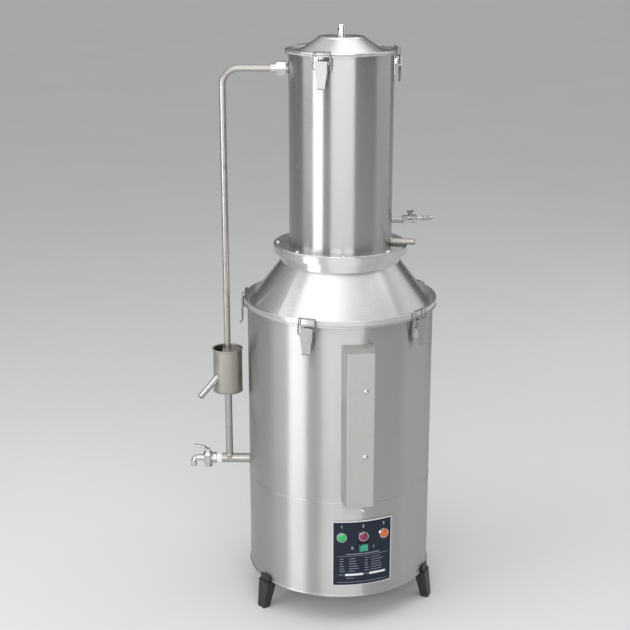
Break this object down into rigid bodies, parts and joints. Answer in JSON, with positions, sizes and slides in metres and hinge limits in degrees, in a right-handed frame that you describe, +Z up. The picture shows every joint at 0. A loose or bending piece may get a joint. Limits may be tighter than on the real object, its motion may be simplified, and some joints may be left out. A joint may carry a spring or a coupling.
{
  "type": "electric water still",
  "caption": "Upright stainless electric water still: boiler on a base with a control panel, cone hood, column condenser under a latched lid, level cup, drain tap and water inlet valve.",
  "frame": {"origin": "on the boiler's axis, at floor level under the three feet", "axes": "+Z up along the boiler's axis, -Y out of the control panel's side, +X to the right seen from the front"},
  "size_m": [0.4612, 0.3958, 1.065],
  "materials": {
    "steel_shell": "bright polished stainless sheet",
    "steel_pipe": "satin stainless tube",
    "chrome_fitting": "plated fittings and taps",
    "white_silicone": "white silicone gasket",
    "cover_sheet": "satin grey sheet",
    "panel_navy": "dark navy enamel plate",
    "black_plastic": "black moulded plastic",
    "lens_green": "green lens",
    "lens_red": "red lens",
    "lens_amber": "amber lens",
    "rocker_green": "green rocker",
    "copper_sheath": "plated heater flange and sheath"
  },
  "bodies": {
    "still": {"base_skirt": "steel_shell", "boiler_gasket": "white_silicone", "boiler_shell": "steel_shell", "bottom_plate": "steel_shell", "cable_gland": "black_plastic", "collar_gasket": "white_silicone", "condenser_base": "steel_shell", "condenser_shell": "steel_shell", "condenser_tubes": "steel_pipe", "cone_hood": "steel_shell", "control_panel": "panel_navy", "cup_cover": "steel_pipe", "distillate_outlet": "steel_pipe", "dome_screws": "chrome_fitting", "downpipe": "steel_pipe", "feed_pipe": "steel_pipe", "foot_front_left": "black_plastic", "foot_rear": "black_plastic", "foot_right": "black_plastic", "heater_cover": "cover_sheet", "hose_barb": "chrome_fitting", "immersion_heaters": "copper_sheath", "inlet_nipple": "steel_pipe", "lamp_amber": "lens_amber", "lamp_bezels": "chrome_fitting", "lamp_green": "lens_green", "lamp_red": "lens_red", "latch_pins": "chrome_fitting", "latch_plates": "steel_shell", "level_cup": "steel_pipe", "lid": "steel_shell", "lid_gasket": "white_silicone", "overflow_spout": "steel_pipe", "rocker_housing": "black_plastic", "steam_riser": "steel_pipe", "tap_body": "chrome_fitting", "terminal_block": "black_plastic", "tube_sheets": "steel_pipe", "union_nut": "chrome_fitting", "valve_body": "chrome_fitting"},
    "lid_lever_1": {"lid_lever_1": "steel_shell"},
    "lid_bail_1": {"lid_bail_1": "steel_shell"},
    "lid_lever_2": {"lid_lever_2": "steel_shell"},
    "lid_bail_2": {"lid_bail_2": "steel_shell"},
    "lid_lever_3": {"lid_lever_3": "steel_shell"},
    "lid_bail_3": {"lid_bail_3": "steel_shell"},
    "boiler_lever_1": {"boiler_lever_1": "steel_shell"},
    "boiler_bail_1": {"boiler_bail_1": "steel_shell"},
    "boiler_lever_2": {"boiler_lever_2": "steel_shell"},
    "boiler_bail_2": {"boiler_bail_2": "steel_shell"},
    "boiler_lever_3": {"boiler_lever_3": "steel_shell"},
    "boiler_bail_3": {"boiler_bail_3": "steel_shell"},
    "boiler_lever_4": {"boiler_lever_4": "steel_shell"},
    "boiler_bail_4": {"boiler_bail_4": "steel_shell"},
    "boiler_lever_5": {"boiler_lever_5": "steel_shell"},
    "boiler_bail_5": {"boiler_bail_5": "steel_shell"},
    "tap_key": {"tap_key": "chrome_fitting", "tap_nut": "chrome_fitting"},
    "valve_key": {"valve_key": "chrome_fitting"},
    "rocker_button": {"rocker_button": "rocker_green"}
  },
  "joints": [
    {"name": "lid_lever_1_hinge", "type": "hinge", "parent": "still", "child": "lid_lever_1", "pos_m": [-0.03304, -0.09597, 1.0064], "axis": [-0.9455, 0.3256, 0], "range_deg": [0, 120]},
    {"name": "lid_bail_1_hinge", "type": "hinge", "parent": "lid_lever_1", "child": "lid_bail_1", "pos_m": [-0.03288, -0.0955, 0.9969], "axis": [-0.9455, 0.3256, 0], "range_deg": [-150, 0]},
    {"name": "lid_lever_2_hinge", "type": "hinge", "parent": "still", "child": "lid_lever_2", "pos_m": [0.09964, 0.01937, 1.0064], "axis": [0.1908, -0.9816, 0], "range_deg": [0, 120]},
    {"name": "lid_bail_2_hinge", "type": "hinge", "parent": "lid_lever_2", "child": "lid_bail_2", "pos_m": [0.09914, 0.01927, 0.9969], "axis": [0.1908, -0.9816, 0], "range_deg": [-150, 0]},
    {"name": "lid_lever_3_hinge", "type": "hinge", "parent": "still", "child": "lid_lever_3", "pos_m": [-0.06659, 0.0766, 1.0064], "axis": [0.7547, 0.6561, 0], "range_deg": [0, 120]},
    {"name": "lid_bail_3_hinge", "type": "hinge", "parent": "lid_lever_3", "child": "lid_bail_3", "pos_m": [-0.06626, 0.07623, 0.9969], "axis": [0.7547, 0.6561, 0], "range_deg": [-150, 0]},
    {"name": "boiler_lever_1_hinge", "type": "hinge", "parent": "still", "child": "boiler_lever_1", "pos_m": [-0.0568, -0.16975, 0.5625], "axis": [-0.9483, 0.3173, 0], "range_deg": [0, 120]},
    {"name": "boiler_bail_1_hinge", "type": "hinge", "parent": "boiler_lever_1", "child": "boiler_bail_1", "pos_m": [-0.05664, -0.16928, 0.553], "axis": [-0.9483, 0.3173, 0], "range_deg": [-150, 0]},
    {"name": "boiler_lever_2_hinge", "type": "hinge", "parent": "still", "child": "boiler_lever_2", "pos_m": [0.14125, -0.10996, 0.5625], "axis": [-0.6143, -0.7891, 0], "range_deg": [0, 120]},
    {"name": "boiler_bail_2_hinge", "type": "hinge", "parent": "boiler_lever_2", "child": "boiler_bail_2", "pos_m": [0.14085, -0.10965, 0.553], "axis": [-0.6143, -0.7891, 0], "range_deg": [-150, 0]},
    {"name": "boiler_lever_3_hinge", "type": "hinge", "parent": "still", "child": "boiler_lever_3", "pos_m": [0.15063, 0.0967, 0.5625], "axis": [0.5402, -0.8415, 0], "range_deg": [0, 120]},
    {"name": "boiler_bail_3_hinge", "type": "hinge", "parent": "boiler_lever_3", "child": "boiler_bail_3", "pos_m": [0.15021, 0.09643, 0.553], "axis": [0.5402, -0.8415, 0], "range_deg": [-150, 0]},
    {"name": "boiler_lever_4_hinge", "type": "hinge", "parent": "still", "child": "boiler_lever_4", "pos_m": [-0.04118, 0.1742, 0.5625], "axis": [0.9732, 0.23, 0], "range_deg": [0, 120]},
    {"name": "boiler_bail_4_hinge", "type": "hinge", "parent": "boiler_lever_4", "child": "boiler_bail_4", "pos_m": [-0.04106, 0.17371, 0.553], "axis": [0.9732, 0.23, 0], "range_deg": [-150, 0]},
    {"name": "boiler_lever_5_hinge", "type": "hinge", "parent": "still", "child": "boiler_lever_5", "pos_m": [-0.17799, 0.01902, 0.5625], "axis": [0.1063, 0.9943, 0], "range_deg": [0, 120]},
    {"name": "boiler_bail_5_hinge", "type": "hinge", "parent": "boiler_lever_5", "child": "boiler_bail_5", "pos_m": [-0.17749, 0.01897, 0.553], "axis": [0.1063, 0.9943, 0], "range_deg": [-150, 0]},
    {"name": "drain_tap_turn", "type": "hinge", "parent": "still", "child": "tap_key", "pos_m": [-0.25, 0, 0.254], "axis": [0, 0, 1], "range_deg": [0, 90]},
    {"name": "inlet_valve_turn", "type": "hinge", "parent": "still", "child": "valve_key", "pos_m": [0.12702, 0.03404, 0.713], "axis": [0, 0, 1], "range_deg": [0, 90]},
    {"name": "rocker_tip", "type": "hinge", "parent": "still", "child": "rocker_button", "pos_m": [0.04476, -0.16587, 0.1505], "axis": [0, 0, 1], "range_deg": [-18, 0]}
  ],
  "couplings": [
    {"joint": "lid_bail_1_hinge", "follows": "lid_lever_1_hinge", "ratio": -1.25},
    {"joint": "lid_bail_2_hinge", "follows": "lid_lever_2_hinge", "ratio": -1.25},
    {"joint": "lid_bail_3_hinge", "follows": "lid_lever_3_hinge", "ratio": -1.25},
    {"joint": "boiler_bail_1_hinge", "follows": "boiler_lever_1_hinge", "ratio": -1.25},
    {"joint": "boiler_bail_2_hinge", "follows": "boiler_lever_2_hinge", "ratio": -1.25},
    {"joint": "boiler_bail_3_hinge", "follows": "boiler_lever_3_hinge", "ratio": -1.25},
    {"joint": "boiler_bail_4_hinge", "follows": "boiler_lever_4_hinge", "ratio": -1.25},
    {"joint": "boiler_bail_5_hinge", "follows": "boiler_lever_5_hinge", "ratio": -1.25}
  ]
}
